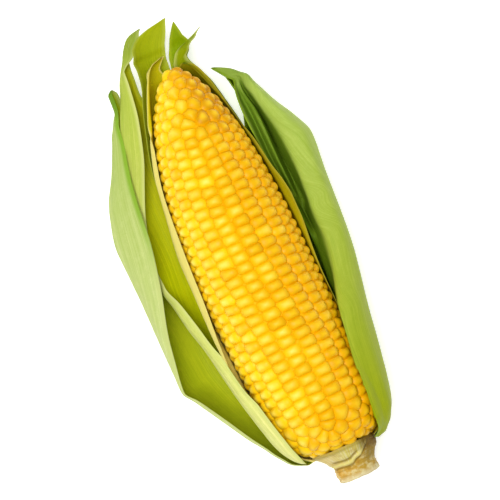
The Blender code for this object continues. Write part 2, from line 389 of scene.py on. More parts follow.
def spread(rng, fixed, inside, size, flatness):
    """Places for the crowded kernels of an end, evened out between themselves and the straight rows."""
    s_table, y_table, r_table = PROFILE
    bands = 2 * math.pi * (r_table[1:] + r_table[:-1]) / 2 * np.diff(s_table)
    area = np.concatenate(([0.0], np.cumsum(bands)))
    s = np.interp(rng.uniform(0, area[-1], SPREAD_SAMPLES), area, s_table)
    s = s[inside(np.interp(s, s_table, y_table))]
    angle = rng.uniform(0, 360, len(s))
    samples = surface_at(s, angle)[0]
    count = int(len(s) / SPREAD_SAMPLES * area[-1] / size)
    pick = rng.choice(len(s), count, replace=False)
    loose_s, loose_angle = s[pick], angle[pick]
    fixed_points = surface_at(fixed[:, 0], fixed[:, 1])[0]
    near = np.abs(fixed_points[:, 1] - samples[:, 1].mean()) < SPREAD_NEAR
    fixed_points = fixed_points[near]
    stretch = np.array((1.0, flatness, 1.0))
    wave = np.exp(1j * np.radians(angle))
    for _ in range(SPREAD_ROUNDS):
        loose = surface_at(loose_s, loose_angle)[0]
        centres = np.concatenate((loose, fixed_points)) * stretch
        nearest = np.full(len(s), -1)
        for part in np.array_split(np.arange(len(s)), 8):
            gap = ((samples[part, None] * stretch - centres[None]) ** 2).sum(axis=2)
            nearest[part] = gap.argmin(axis=1)
        for k in range(count):
            mine = nearest == k
            if mine.any():
                loose_s[k] = s[mine].mean()
                loose_angle[k] = np.degrees(np.angle(wave[mine].mean()))
    loose_s = loose_s + rng.normal(size=count) * 0.22
    radius = np.maximum(np.interp(loose_s, s_table, r_table), 2)
    loose_angle = loose_angle + np.degrees(rng.normal(size=count) * 0.25 / radius)
    return np.stack([loose_s, loose_angle], axis=1)


def kernel_reach(gap, across, along, slant, spokes):
    """How far a kernel reaches along each spoke, given the gaps to its neighbours' middles."""
    flat = np.stack([gap @ across, gap @ along], axis=1)
    flat[:, 0] -= slant * flat[:, 1]
    size = (flat ** 2).sum(axis=1)
    pull = np.clip(2 * (flat @ spokes.T) / size[:, None], 0, None)
    least = (1 / LARGEST_REACH) ** OUTLINE_POWER
    return ((pull ** OUTLINE_POWER).sum(axis=0) + least) ** (-1 / OUTLINE_POWER) * KERNEL_OVERLAP


def kernel_dome(rng, reach, slant, spokes, normal_y, radius):
    """A kernel's rings from its top outwards: their flat places across and along, and their heights."""
    depth = np.clip(0.86 * reach.mean(), 1.4, 2.5) * rng.uniform(0.95, 1.05)
    lift = rng.normal() * 0.12
    tilt = rng.normal(size=2) * 0.035
    bulge = rng.uniform(1.85, 2.1)
    curve_across = max(1.0 - normal_y ** 2, 0.05) ** 0.5 / max(radius, 3.5)
    curve_along = 0.12 * abs(normal_y) + 0.004
    rings = []
    for share in KERNEL_RINGS:
        flat = spokes * (reach * share)[:, None] if share else np.zeros((1, 2))
        flat = flat + np.outer(flat[:, 1], (slant, 0.0))
        height = lift - depth * (1 - (1 - share ** bulge) ** 0.5)
        height = height + flat @ tilt - flat[:, 0] ** 2 * curve_across / 2 - flat[:, 1] ** 2 * curve_along / 2
        rings.append((flat, height))
    return rings


def kernel_shade_and_tone(rng, y, angle):
    """How much deeper a kernel's yellow is made: more to the right and most right of the tip, as painted
    shade on the side away from the key light, more at the butt, and a little at random.
    """
    side = math.sin(math.radians(angle))
    # Painted shade: kernels further round to the right, away from the key light, get a deeper yellow.
    side_shade_and_tone = np.clip(0.5 + 0.5 * side + rng.normal() * 0.12, 0, 1)
    side_shade_and_tone = 0.16 + 0.58 * side_shade_and_tone + 0.14 * (1 - soft_step(y, -80.0, -66.0))
    # Painted shade on the kernels right of the tip.
    side_shade_and_tone += 0.5 * soft_step(y, 46.0, 60.0) * soft_step(side, 0.1, 0.45)
    return side_shade_and_tone + 0.22 * rng.uniform(0, 1)


def build_kernels(rng, material):
    """One dome for each kernel, with an outline that meets its neighbours'."""
    rows = row_centres(rng)
    tip = spread(rng, rows, lambda y: y > ROWS_TO + 0.5, *TIP_CROWD)
    butt = spread(rng, rows, lambda y: (y < ROWS_FROM + 0.5) & (y > KERNELS_END_Y), *BUTT_CROWD)
    s, angle = np.concatenate((rows, tip, butt)).T
    points, normals, across, along, r = surface_at(s, angle)
    # rows lean, but the edges between one kernel and the next in a row stay square to the ear
    slant = r * np.radians(row_lean(points[:, 1] + 0.5) - row_lean(points[:, 1] - 0.5))
    turn = np.arange(KERNEL_SPOKES) * 2 * math.pi / KERNEL_SPOKES
    spokes = np.stack([np.cos(turn), np.sin(turn)], axis=1)
    all_points, all_faces, rim, shade_and_tone = [], [], [], []
    for i in range(len(s)):
        gap = points - points[i]
        near = np.linalg.norm(gap, axis=1) < NEIGHBOUR_REACH
        near[i] = False
        reach = kernel_reach(gap[near], across[i], along[i], slant[i], spokes)
        base = len(all_points)
        rings = kernel_dome(rng, reach, slant[i], spokes, normals[i][1], r[i])
        for share, (flat, height) in zip(KERNEL_RINGS, rings):
            ring = points[i] + flat[:, :1] * across[i] + flat[:, 1:] * along[i] + height[:, None] * normals[i]
            all_points.extend(ring)
            rim.extend([share] * len(ring))
        for j in range(KERNEL_SPOKES):
            after = (j + 1) % KERNEL_SPOKES
            all_faces.append((base, base + 1 + j, base + 1 + after))
            for m in range(len(KERNEL_RINGS) - 2):
                a = base + 1 + m * KERNEL_SPOKES
                b = a + KERNEL_SPOKES
                all_faces.append((a + j, b + j, b + after, a + after))
        shade_and_tone.extend([kernel_shade_and_tone(rng, points[i][1], angle[i])] * (len(all_points) - base))
    obj = make_object("kernels", to_world(all_points), all_faces, [material])
    set_attribute(obj, "rim", rim)
    set_attribute(obj, "shade_and_tone", shade_and_tone)
    finish_piece(obj, "kernels", "ear")


def build_cob(material):
    """The cob below the kernels, which closes the creases between them."""
    rows, columns = 140, 120
    wanted = np.linspace(0.0, PROFILE[0][-1], rows)
    ring_angle = np.arange(columns) * 360 / columns
    grid_s, grid_angle = np.repeat(wanted, columns), np.tile(ring_angle, rows)
    points, normals, _, _, r = surface_at(grid_s, grid_angle)
    out = outward(grid_angle)
    # near the two ends, the inset doesn't reach past the axis
    radial = COB_INSET * (normals * out).sum(axis=1)
    points = points - COB_INSET * normals + out * (radial - np.minimum(radial, 0.6 * r))[:, None]
    cob = make_object("cob", to_world(points), grid_faces(rows, columns, wrap=True), [material])
    finish_piece(cob, "kernels")


def kernel_material():
    """Yellow, with a painted highlight in the middle and painted shade in the deeper orange at the rim;
    darker still where the kernel's value is high, mostly painted shade on the ear's right side.
    """
    n = Nodes("kernel_skin")
    rim, shade_and_tone = n.attribute("rim"), n.attribute("shade_and_tone")
    place = n.object_place()
    blotch = n.noise(place, 90.0)
    full = (0.0, 1.0)
    base = n.layered(
        srgb(246, 208, 20),
        (shade_and_tone, (0.15, 0.85), full, srgb(224, 168, 0)),
        (blotch, (0.35, 0.75), (0.0, 0.35), srgb(238, 178, 0)),
    )
    # Painted highlight: the pale colour laid on the middle of each kernel.
    middle = n.layered(
        srgb(255, 228, 98),
        (shade_and_tone, (0.2, 0.8), full, srgb(240, 192, 20)),
        (shade_and_tone, (0.9, 1.25), full, srgb(250, 208, 44)),
    )
    # Painted shade: the deeper orange laid on each kernel's rim, in the creases between kernels.
    crease = n.layered(srgb(252, 200, 12), (shade_and_tone, (0.2, 0.8), full, srgb(232, 168, 0)))
    # Painted shade: the kernels with the highest values, right of the tip, are darkened further.
    base = n.tinted(base, (shade_and_tone, (0.9, 1.25), full, (0.78, 0.66, 0.2)))
    # The painted highlight towards each kernel's middle, and the painted shade at its rim.
    base = n.layered(base, (rim, (0.0, 0.72), (0.9, 0.0), middle), (rim, (0.64, 0.92), (0.0, 0.8), crease))
    fine = n.noise(place, 2600.0)
    return n.done(
        Base_Color=base,
        Roughness=n.remap(n.noise(place, 400.0), 0.3, 0.7, 0.34, 0.48),
        Normal=n.bump(fine, 0.00002, 0.3),
        Specular_IOR_Level=0.18,
        Subsurface_Weight=0.06,
        Subsurface_Radius=(0.0020, 0.0010, 0.0002),
        Subsurface_Scale=1.0,
        IOR=1.42,
    )


def cob_material():
    n = Nodes("cob_flesh")
    place = n.object_place()
    return n.done(
        Base_Color=n.mix(n.noise(place, 300.0, 3.0), srgb(232, 168, 0), srgb(244, 184, 6)),
        Roughness=0.6,
        Specular_IOR_Level=0.1,
        Normal=n.bump(n.noise(place, 900.0), 0.0001, 0.5),
    )


# ---- the husk
# Each leaf's cross-sections from stem to tip: y, the start and end angle of the arc that lies on the leaf's
# layer, how far that arc is lifted off it, and the points of the free part as x, z.
LEFT_OUTER = (
    (-91.6, 15, -60, 0, (-9.2, -8.5), (-10.8, -5.5), (-10.8, -3), (-10.6, -1)),
    (-90.3, 15, -58, 0, (-12, -10), (-15, -5.5), (-15.1, -3), (-14.7, -1)),
    (-88.5, 15, -55, 0, (-14.6, -11.8), (-18.3, -5.5), (-18.4, -3), (-17.9, -0.6)),
    (-85.1, 15, -50, 0, (-16.8, -13.6), (-21.4, -6), (-21.4, -3), (-20.5, 0)),
    (-81.8, 15, -45, 0, (-18.2, -15.2), (-24, -6.3), (-24, -3.3), (-22.9, 0)),
    (-78.4, 15, -40, 0, (-19.6, -17), (-26.1, -6.6), (-26.1, -3.5), (-24.9, -0.4)),
    (-72.5, 15, -35, 0, (-21.5, -19.5), (-30, -7), (-30.2, -4), (-28.8, -1)),
    (-62, 15, -30, 0, (-26, -23), (-36.4, -9), (-36.4, -6), (-35, -3)),
    (-55, 15, -27, 0, (-29, -25.5), (-40.6, -11), (-40.7, -8), (-39.3, -5)),
    (-48.3, 15, -25, 0, (-31.5, -27.3), (-44.7, -12.5), (-44.9, -9.5), (-43.6, -6.8)),
    (-43.4, 15, -25, 0, (-33.5, -28.3), (-48.3, -14), (-48.4, -11.5), (-47.4, -9)),
    (-40, 15, -25, 0, (-34, -28.8), (-48.6, -15), (-48.6, -11.5), (-47.2, -9.2)),
    (-30.8, 15, -25, 0, (-34.3, -29.4), (-48.6, -16), (-48.2, -11), (-45.8, -9.3)),
    (-20, 15, -25, 0, (-34.5, -29.7), (-48.6, -17), (-47.2, -11.5), (-44.1, -9.5)),
    (0, 14, -25, 0, (-35.5, -29.7), (-49, -18), (-45, -11), (-38.8, -8)),
    (21, 10, -27, 0, (-35.5, -29.7), (-49.4, -18), (-43.5, -10.8), (-34.6, -7.5)),
    (37, 4, -29, 0, (-33, -28), (-46.2, -17.5), (-40.5, -11), (-33, -8.5)),
    (44, 0, -30, 0, (-31.5, -26.5), (-43.6, -17), (-38.5, -11.2), (-32.1, -9)),
    (53, -8, -33, 0, (-28.5, -24.5), (-38.4, -16), (-34.8, -11.5), (-30.4, -9.6)),
    (63.8, -18, -36, 0, (-25.5, -22), (-33.2, -15), (-31, -12.2), (-28, -10.5)),
    (67.5, -25, -40, 2, (-25, -19.6), (-31.8, -15), (-30, -12.8), (-27.6, -11.2)),
    (70.4, -32, -44, 4, (-24.6, -17.6), (-30.2, -14.8), (-29, -13.2), (-27.2, -12)),
    (73.4, -50, -56, 7, (-24.4, -15.8), (-28.6, -14.6), (-27.8, -13.2), (-26, -12.2)),
    (76.5, -58, -61, 9, (-24.2, -14.6), (-26.7, -14), (-26.4, -13), (-25, -12.2)),
    (80, -61, -63, 10, (-24.2, -13.9), (-26.4, -13.6), (-26.2, -12.9), (-24.6, -12)),
    (83.5, -60, -62, 12, (-24, -13.8), (-26.2, -13.4), (-26, -12.8), (-24.4, -12.2)),
    (85.6, -60, -61, 14.6, (-23.6, -13.8), (-24.4, -13.6), (-24.4, -13.4), (-24, -13.2)),
)
LEFT_SECOND = (
    (-90.2, -20, -60, 0, (-9, -8.5), (-11.2, -3), (-10.8, 1.6), (-9.8, 5.4)),
    (-88.6, -20, -58, 0, (-11.4, -9.8), (-14.6, -2), (-13.4, 4.4), (-11.2, 8.4)),
    (-86.5, -20, -57, 0, (-13, -11), (-17.4, -1), (-15.8, 6.6), (-12.8, 10.8)),
    (-83, -20, -55, 0, (-14.6, -12.6), (-19.4, 0), (-17.6, 8.6), (-14.4, 12.8)),
    (-74, -20, -50, 0, (-17.8, -14.4), (-22.9, 0.5), (-21, 10.2), (-17.2, 14.8)),
    (-62, -20, -45, 0, (-20.5, -15.5), (-25.8, 1), (-24, 10), (-20, 14.6)),
    (-51.7, -20, -42, 0, (-23.5, -16), (-28.2, -0.5), (-26.2, 6.8), (-22.3, 10.6)),
    (-41, -20, -40, 0, (-26, -16), (-30.3, -2), (-28.4, 3.4), (-24.6, 6.4)),
    (-30, -20, -38, 0, (-26.5, -18), (-32.4, -5), (-31, -1), (-28.4, 1)),
    (-20, -20, -36, 0, (-27, -20), (-34.9, -8), (-33.6, -5), (-30.8, -3)),
    (-8, -20, -35, 0, (-28, -20.6), (-37.2, -11), (-36, -9), (-34, -7.5)),
    (0, -20, -35, 0, (-29, -21), (-39, -13), (-38.2, -12), (-36.9, -11)),
    (13, -20, -35, 0, (-29, -21.5), (-39, -15), (-38.4, -14.2), (-37.4, -13.5)),
    (22, -21, -36, 0, (-28, -21.2), (-38, -15), (-36.8, -13.8), (-35, -13)),
    (31.3, -22, -38, 0, (-26.5, -20.5), (-36.8, -14.6), (-35, -12.8), (-32.2, -11.8)),
    (42, -25, -40, 0, (-25, -19.5), (-35, -14), (-32, -11.6), (-27.8, -10.4)),
    (52.5, -29, -43, 0, (-22.5, -18.5), (-32.4, -13.2), (-28.6, -9.8), (-23.3, -8)),
    (63, -34, -46, 0, (-20, -17), (-29.2, -12.5), (-25.6, -8.4), (-20, -6)),
    (72, -41, -49, 2, (-18.5, -15.5), (-25.8, -12.2), (-22.4, -8.4), (-17.8, -6.2)),
    (79.6, -47, -52, 5, (-17.3, -14.6), (-22.4, -12), (-19.8, -8.8), (-16.7, -7)),
    (86, -46, -50, 8, (-15.8, -14.4), (-20, -12.2), (-17.6, -9.2), (-16, -7.6)),
    (90, -45, -48, 10.5, (-14.6, -14.6), (-17.8, -13), (-16.6, -10.8), (-15.8, -9.2)),
    (92, -45, -48, 11.5, (-14, -14.6), (-16.4, -13), (-15, -11), (-13.8, -9.6)),
    (94.2, -46, -49, 12, (-12.8, -14.6), (-14.9, -13.2), (-13, -11.4), (-10.2, -10.4)),
    (98.3, -47, -49, 9, (-10.4, -14.8), (-12.6, -13.8), (-10.4, -12.4), (-7.4, -11.6)),
    (101.3, -42, -44, 8.8, (-8.4, -14.8), (-10.3, -14.2), (-7.6, -13.2), (-4.4, -12.8)),
    (103.3, -37, -38, 8.4, (-7, -14.8), (-7.8, -14.4), (-5.8, -13.8), (-3.4, -13.4)),
    (104.5, -26, -27, 7.7, (-3.2, -14.6), (-3, -14.4), (-2.6, -14.2), (-2.2, -14)),
)
LEFT_INNER = (
    (-91, 2, -92, 0, (-8.5, 0.5), (-9.2, 1), (-9.8, 0.6)),
    (-83, 2, -92, 0, (-17.7, 1.4), (-18.4, 2), (-19.2, 1.6)),
    (-62, 2, -88, 0, (-24.4, 0.6), (-24.6, 2.4), (-24.2, 4.2)),
    (-42, 2, -88, 0, (-26, 0.6), (-26.2, 3), (-25.6, 5.4)),
    (-28.8, 2, -88, 0, (-26.5, 1), (-26.6, 4.2), (-25.2, 7.6)),
    (-12, 2, -88, 0, (-26.5, 1.2), (-26.3, 5.4), (-24.1, 9.3)),
    (4.6, 2, -88, 0, (-26.5, 1.4), (-26.1, 6), (-23.5, 10.4)),
    (21.2, 2, -88, 0, (-24.9, 1.4), (-24.7, 5.6), (-22.6, 9)),
    (33.8, 2, -88, 0, (-23.2, 1.2), (-23.2, 4.2), (-21.6, 7)),
    (42, 2, -88, 0, (-22, 1), (-22.1, 3.6), (-20.3, 6)),
    (54.6, 1, -90, 0, (-18.6, 0.8), (-18.8, 3.2), (-17.3, 5.2)),
    (63, 0, -98, 0, (-14.8, 3.8), (-15.4, 4.2), (-16.3, 3.6)),
    (69.2, -3, -94, 0.4, (-13, 2.6), (-13.5, 3), (-14.1, 2.4)),
    (75.4, -6, -90, 1.4, (-10.6, 1.6), (-11.1, 2), (-11.6, 1.5)),
    (80.8, -12, -86, 3, (-8.4, 0.4), (-8.7, 0.7), (-9.1, 0.2)),
    (85, -22, -66, 3.6, (-6.2, -1.6), (-6.4, -1.2), (-6.7, -1.7)),
    (87.5, -14, -40, 3, (-3.9, -3.4), (-4, -3), (-4.2, -3.4)),
    (89.4, -4, -10, 1.4, (1, -6.6), (1.4, -6.2), (1.9, -5.8)),
)
BACK_LEFT = (
    (-92, -75, 5, 0),
    (40, -75, 4, 0),
    (70, -72, 0, 0),
    (80, -70, 0, 0.2),
    (84, -68, 0, 1.4),
    (88, -68, 0, 3.2),
    (91, -68, 2, 5.4),
    (94.2, -69, 6, 5.4),
    (96.3, -66, 10, 5.4),
    (98.4, -56, 14, 5.4),
    (100.4, -44, 17.4, 5.2),
    (102.8, -16, 21, 5.2),
    (104.2, 19, 24, 5),
)
BACK_MIDDLE = (
    (-92.5, -15, 45, 0),
    (0, -14, 45, 0),
    (40, -9, 46, 0),
    (70, 2, 52, 0),
    (80, 2, 43, 0),
    (84, 2, 37, 0.4),
    (85.6, 3, 35.5, 1),
    (88, 4, 44, 2.2),
    (91, 8, 48.5, 4.3),
    (95.4, 17.5, 45.3, 4.3),
    (99.6, 29.5, 39.5, 4.3),
    (101.2, 35.5, 37, 4.3),
)
BACK_RIGHT = (
    (-92, 15, 62, 0),
    (40, 15, 62, 0),
    (70, 10, 58, 0),
    (80, 8, 48, 0),
    (84, 8, 41, 0),
    (86, 12, 43.5, 0),
    (88.3, 20, 66, 0.6),
    (90, 28, 68, 3),
    (91.3, 38, 71, 6.2),
    (92.9, 54, 67, 9),
    (94.7, 66, 68, 11.4),
)
RIGHT_INNER = (
    (-91, 8, 95, 0, (15.6, 2), (16, 2.6)),
    (-62, 8, 94, 0, (26.6, 4), (27.2, 5)),
    (-40, 8, 93, 0, (25.9, 2.6), (26.4, 3.8)),
    (-20, 8, 92, 0, (25.6, 2.2), (26.1, 3.4)),
    (-8, 8, 90, 0, (25.8, 1.4), (26.6, 2.6)),
    (5, 8, 88, 0, (26.2, 0.4), (27.6, 1.8)),
    (14, 8, 86, 0, (26, -0.6), (27.6, 1)),
    (22, 8, 85, 0, (25, -1), (26.6, 0.4)),
    (30, 8, 83, 0, (23.6, -1.8), (24.7, -0.8)),
    (42, 8, 80, 0, (21.8, -2.8), (22.8, -2)),
    (53, 8, 79, 0, (19, -3.2), (19.7, -2.2)),
    (66, 9, 77, 0, (16.3, -3.4), (17.2, -2.6)),
    (74, 10, 74, 0.6, (14.2, -4), (15.3, -3.2)),
    (80, 14, 66, 2, (11.6, -4.8), (12.9, -4)),
    (82.4, 22, 52, 2.6, (9.6, -6.6), (10.6, -6)),
    (83.6, 32, 42, 2.6, (7.6, -8), (8.2, -7.8)),
)
RIGHT_OUTER = (
    (-92.1, -20, 60, 0, (19.4, -6), (20.2, -4), (20.8, -2), (20.9, 0),
     (20.7, 1.5), (20.4, 2.5), (20, 3.2), (19.6, 3.8)),
    (-91.2, -20, 60, 0, (19.5, -8), (22.4, -5), (23.6, -2), (23.4, 1),
     (21.4, 3.5), (19.6, 4.6), (18.4, 5), (17.4, 5.2)),
    (-89.6, -20, 60, 0, (20, -9.5), (23.5, -5.5), (25.1, -1), (24.2, 3),
     (21.2, 6), (19, 7), (17.6, 7), (16.6, 6.8)),
    (-87, -20, 60, 0, (22, -11), (26.6, -4), (27.2, 2), (23, 8),
     (19.6, 10), (18.2, 9.8), (17.4, 9.2), (17, 8.4)),
    (-80.8, -20, 58, 0, (24, -13), (30.5, -3), (29.4, 6), (22.6, 12.4),
     (18.9, 14), (18.6, 13), (19.2, 12), (20.2, 11)),
    (-71, -19, 54, 0, (25, -13.6), (33, -2), (30.6, 8.6), (24, 14),
     (20.3, 15.4), (20, 14.4), (20.8, 13.2), (21.9, 12)),
    (-62, -18, 50, 0, (26.5, -14), (34.6, -1), (31.6, 9.4), (25, 14.6),
     (21.5, 16), (21.2, 15), (22.1, 13.8), (23.3, 12.8)),
    (-41, -14, 40, 0, (28, -18), (38, -4), (34.4, 7), (28.4, 11.4),
     (24.8, 12), (24.6, 10.8), (25.4, 9.6), (26.8, 8.8)),
    (-31, -10, 36, 0, (29.6, -23), (39.8, -6), (36, 3.4), (29.8, 6.8),
     (27.9, 6), (27.4, 3.4), (26.9, 0.4), (26.5, -2)),
    (-20, -6, 32, 0, (31, -28), (41.5, -8), (37.6, 0), (32, 2),
     (30.4, 0.6), (29.4, -3), (28.3, -6), (27.2, -7.6)),
    (-8, 0, 30, 0, (31.6, -29.2), (43, -10.5), (39.6, -1.5), (34, -0.4),
     (31.8, -3.4), (30, -7.4), (29, -8.6), (28, -8.8)),
    (6, 6, 30, 0, (32, -29.7), (44.2, -12.5), (40.4, -3.4), (34, -3),
     (30.8, -12.5), (29.8, -15.5), (28.8, -10), (27.8, -6.6)),
    (20, 14, 32, 0, (32, -29.7), (45.1, -14), (40.6, -4), (34.2, -5),
     (30.8, -18), (28.6, -8.6), (27, -12.5), (26.3, -6.4)),
    (35, 26, 36, 0, (31, -29.5), (46.2, -15), (41, -4.6), (33.8, -6.2),
     (30.2, -19), (28.2, -8), (26, -13), (23.9, -5.8)),
    (45, 44, 46, 0.8, (29, -27), (42.4, -14.5), (37.5, -5.5), (32.6, -8),
     (29.9, -18.5), (28, -8.6), (26, -13), (23, -5.8)),
    (54.2, 55, 56, 1.6, (27, -23), (37, -14), (34.3, -7), (31, -9),
     (29.2, -17), (27.6, -10.6), (25.8, -13.4), (22.6, -6.8)),
    (60.4, 62, 60, 2.6, (27, -20.5), (34.2, -13.5), (32.2, -8.2), (29.8, -9.8),
     (27.8, -15.4), (26.6, -11.6), (25.2, -13), (22.9, -7.6)),
    (64.6, 62, 60, 2.5, (26.6, -18.4), (32.4, -13), (31, -9), (28.8, -10.2),
     (27.2, -13.8), (26.2, -11.6), (25.2, -12), (23.5, -8.4)),
    (68.3, 62, 60, 2.4, (26.2, -16), (31.2, -12.6), (30.4, -9.8), (28.6, -10.4),
     (27.4, -12), (26.4, -11.2), (25.6, -10.8), (24.5, -9.6)),
    (70.8, 61, 60, 2.2, (25.6, -13.6), (28.6, -12.4), (27.6, -11.2), (26.5, -10.9),
     (25.4, -10.8), (24.3, -10.6), (23.3, -10.4), (22.3, -10.2)),
    (73.8, 60, 59, 1.2, (23.4, -13), (25.3, -12.6), (24.7, -12), (23.8, -11.8),
     (22.9, -11.7), (22, -11.6), (21.1, -11.5), (20.2, -11.4)),
    (77.1, 54, 53, 0.3, (17.8, -12.2), (18.6, -12.2), (18.5, -12), (18.3, -11.9),
     (18.1, -11.8), (17.9, -11.7), (17.8, -11.6), (17.7, -11.5)),
)
TUCKS = {"husk_right_outer": (58.0, 72.0, 1.0)}  # in place of TUCK
# Painted shade on what is folded in, by how far it is below the leaf's crest, and darker tips, by y. On the
# right outer leaf the darker tip is painted shade where the leaf turns over at its top.
FOLD_SHADE = {"husk_right_outer": (0.8, 4.0)}
DARK_TIPS = {
    "husk_right_outer": (60.0, 72.0),
    "husk_left_outer": (71.0, 79.0),
    "husk_left_second": (87.0, 99.0),
}
DARK_TIP_SHARE = 0.55
# Where the rim's colour starts to fade, and ends, in from the edge of the outer and of the inner face.
RIM = ((0.3, 2.2), (0.3, 2.2))
RIMS = {
    "husk_left_inner": ((1.5, 8.5), (0.2, 1.2)),
    "husk_left_outer": ((1.0, 3.0), (1.0, 3.0)),
    "husk_right_inner": ((0.2, 1.4), (0.2, 1.4)),
}
# Layer, sections, the slot, then for the outer and the inner face the colours at stem, tip and rim,
# and the rim's colour near the stem where that differs.
LEAVES = {
    "husk_left_outer": (
        3, LEFT_OUTER, "husk_pale",
        ((228, 235, 158), (189, 208, 112), (140, 184, 40), (210, 220, 134)),
        ((190, 198, 32), (186, 198, 6), (204, 210, 110)),
    ),
    "husk_left_second": (
        2, LEFT_SECOND, "husk_pale",
        ((242, 242, 142), (190, 206, 80), (222, 228, 134)),
        ((220, 230, 0), (190, 188, 8), (190, 196, 60)),
    ),
    "husk_left_inner": (
        0, LEFT_INNER, "husk_cream",
        ((200, 196, 90), (176, 172, 40), (246, 230, 124)),
        ((236, 220, 124), (206, 196, 10), (244, 228, 122)),
    ),
    "husk_back_left": (
        1, BACK_LEFT, "husk_olive",
        ((160, 172, 50), (164, 178, 30), (180, 190, 50)),
        ((184, 190, 10), (172, 182, 12), (184, 194, 60)),
    ),
    "husk_back_middle": (
        2, BACK_MIDDLE, "husk_olive",
        ((140, 166, 40), (140, 166, 30), (160, 176, 40)),
        ((140, 158, 4), (140, 164, 0), (164, 180, 30)),
    ),
    "husk_back_right": (
        1, BACK_RIGHT, "husk_olive",
        ((140, 166, 40), (140, 166, 30), (190, 200, 90)),
        ((150, 164, 4), (154, 170, 6), (196, 204, 100)),
    ),
    # Its dark olive is partly its own colour and partly painted shade of the narrow gap it lies in beside the
    # kernels.
    "husk_right_inner": (
        0, RIGHT_INNER, "husk_dark",
        ((116, 132, 10), (116, 132, 10), (176, 166, 60)),
        ((252, 226, 20), (134, 128, 2), (180, 168, 40)),
    ),
    # Its inner face is darker than the other leaves': partly a darker colour of its own, partly painted shade
    # of the trough inside it. Its outer face's olive near the stem is partly painted shade where it slopes
    # away.
    "husk_right_outer": (
        4, RIGHT_OUTER, "husk_green",
        ((165, 178, 0), (182, 206, 92), (160, 190, 40)),
        ((96, 126, 0), (98, 130, 2), (140, 168, 20)),
    ),
}
LEAF_ROWS, LEAF_COLUMNS = 200, 84
RIB_WIDTH = 2.6


def kept_out(y, layer, points, tuck):
    """A section's points, kept off the layers below and above the resting plane."""
    x, z = points[:, 0] - bow(y), points[:, 1]
    angle = np.degrees(np.arctan2(x, -z))
    radius = np.maximum(np.hypot(x, z), layer_radius(y, layer, angle, tuck))
    placed = on_roll(y, angle, radius)
    placed[:, 1] = np.maximum(placed[:, 1], LEAF_THICKNESS / 2 - AXIS.z)
    return placed


def leaf_surface(layer, keys, rows, columns, tuck):
    """The leaf's middle surface, rows by columns of ear-frame points."""
    arc_points = 7
    places = np.array([key[0] for key in keys], float)
    values = np.array([[*key[1:4], *(c for point in key[4:] for c in point)] for key in keys], float)
    values[:, 2] += layer_radius(places, layer)
    share = np.linspace(0, 1, rows)
    # rows are closer together towards the two ends
    share = share - 0.55 * np.sin(2 * math.pi * share) / (2 * math.pi)
    stations = places[0] + (places[-1] - places[0]) * share
    sections = []
    for y, row in zip(stations, hermite(places, values, stations)):
        start, end, lifted = row[:3]
        radius = max(lifted, float(layer_radius(y, layer)))
        arc = on_roll(y, np.linspace(start, end, arc_points), radius)
        section = even_points(np.concatenate((arc, row[3:].reshape(-1, 2))), columns)
        section = kept_out(y, layer, section, tuck)
        sections.append(np.stack([section[:, 0], np.full(columns, y), section[:, 1]], axis=1))
    return np.array(sections)


def normals_of(grid):
    along = np.gradient(grid, axis=0)
    across = np.gradient(grid, axis=1)
    normals = np.cross(across, along)
    return normals / (np.linalg.norm(normals, axis=2, keepdims=True) + 1e-12)


def distances(grid, axis):
    """Distances along the surface from the start of each row or column."""
    steps = np.linalg.norm(np.diff(grid, axis=axis), axis=2)
    run = np.cumsum(steps, axis=axis)
    return np.concatenate((np.zeros_like(run.take([0], axis=axis)), run), axis=axis)


def border_faces(rows, columns, flip):
    """Faces that join the rims of two grids of points."""
    count = rows * columns
    border = [(0, j) for j in range(columns)] + [(i, columns - 1) for i in range(1, rows)]
    border += [(rows - 1, j) for j in range(columns - 2, -1, -1)] + [(i, 0) for i in range(rows - 2, 0, -1)]
    faces = []
    for (i, j), (i2, j2) in zip(border, border[1:] + border[:1]):
        a, b = i * columns + j, i2 * columns + j2
        quad = (b, a, a + count, b + count)
        faces.append(quad[::-1] if flip else quad)
    return faces


def leaf_shade_and_dark_tips(name, grid):
    """How much each point is darkened, from 0 to 1: painted shade where folded in, and towards some tips."""
    darkening = np.zeros(grid.shape[:2])
    if name in FOLD_SHADE:
        height = grid[:, :, 2]
        crest = np.maximum.accumulate(height, axis=1)
        furthest = grid[:, :, 0].argmax(axis=1)
        past = np.arange(grid.shape[1])[None] > furthest[:, None]
        darkening = soft_step(crest - height, *FOLD_SHADE[name]) * past
    if name in DARK_TIPS:
        darkening = np.maximum(darkening, DARK_TIP_SHARE * soft_step(grid[:, :, 1], *DARK_TIPS[name]))
    return darkening


def both_faces(values):
    return np.concatenate((values, values))


